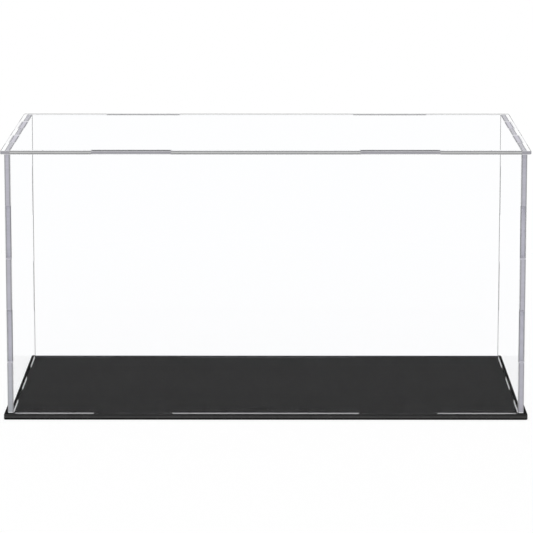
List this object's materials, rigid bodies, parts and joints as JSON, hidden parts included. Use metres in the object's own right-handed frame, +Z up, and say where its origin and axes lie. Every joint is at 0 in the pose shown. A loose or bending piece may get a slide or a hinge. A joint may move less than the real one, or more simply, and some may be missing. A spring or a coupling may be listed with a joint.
{
  "type": "display case",
  "caption": "Clear box of slotted flat panels with finger-jointed corners on a black base plate, with a lift-off lid, for showing a scale model.",
  "frame": {"origin": "middle of the base plate's underside", "axes": "+X along the case to the right as seen from the front, +Y from the front to the back, +Z up"},
  "size_m": [0.28, 0.16, 0.145],
  "materials": {
    "clear_acrylic": "polished",
    "black_acrylic": "polished"
  },
  "bodies": {
    "base": {"base_plate": "black_acrylic"},
    "walls": {"front_panel": "clear_acrylic", "back_panel": "clear_acrylic", "left_panel": "clear_acrylic", "right_panel": "clear_acrylic"},
    "lid": {"lid_panel": "clear_acrylic"}
  },
  "joints": [
    {"name": "walls_lift", "type": "slide", "parent": "base", "child": "walls", "axis": [0, 0, 1], "range_m": [0, 0.16]},
    {"name": "lid_lift", "type": "slide", "parent": "walls", "child": "lid", "axis": [0, 0, 1], "range_m": [0, 0.16]}
  ]
}
